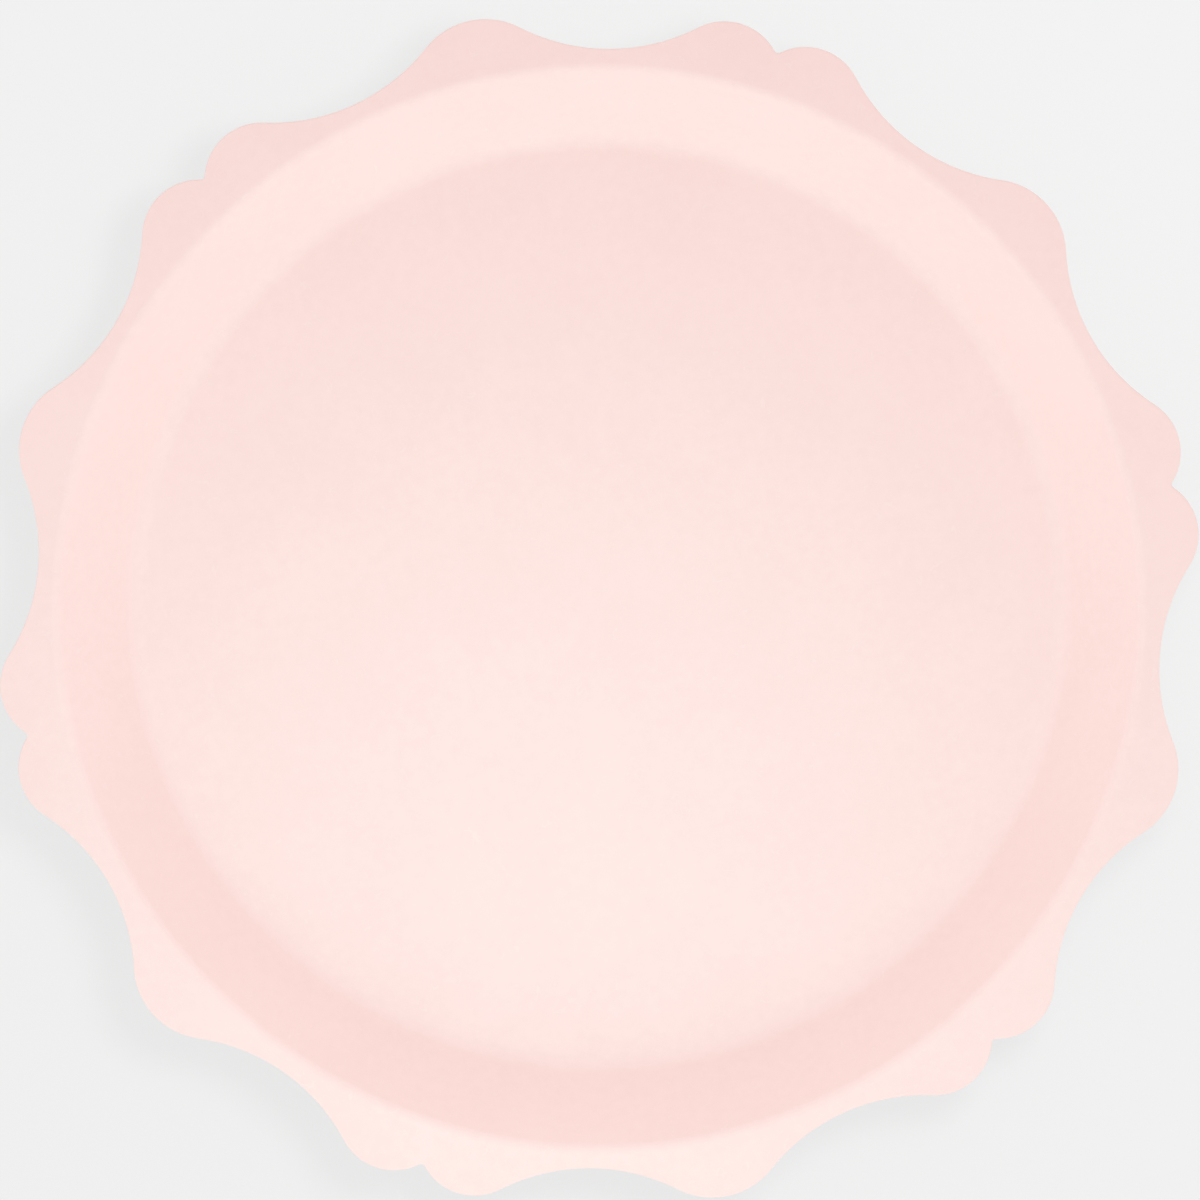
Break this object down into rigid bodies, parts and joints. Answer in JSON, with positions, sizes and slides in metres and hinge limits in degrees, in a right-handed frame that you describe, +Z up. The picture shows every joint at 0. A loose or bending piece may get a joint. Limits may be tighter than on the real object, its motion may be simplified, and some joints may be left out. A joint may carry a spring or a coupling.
{
  "type": "compostable side plate",
  "caption": "Shallow round side plate of laminated fibre board, with a flat well, a sloping wall and a level rim die-cut into broad and twin lobes.",
  "frame": {"origin": "centre of the underside of the well, on the surface the plate stands on", "axes": "+Z up out of the well, +X through the notch of a twin lobe, +Y through the tip of a broad lobe"},
  "size_m": [0.1796, 0.18, 0.0127],
  "materials": {
    "face_paper": "matte",
    "core_pulp": "matte",
    "back_paper": "matte"
  },
  "bodies": {
    "root": {"face_ply": "face_paper", "core_ply": "core_pulp", "back_ply": "back_paper"}
  },
  "joints": []
}
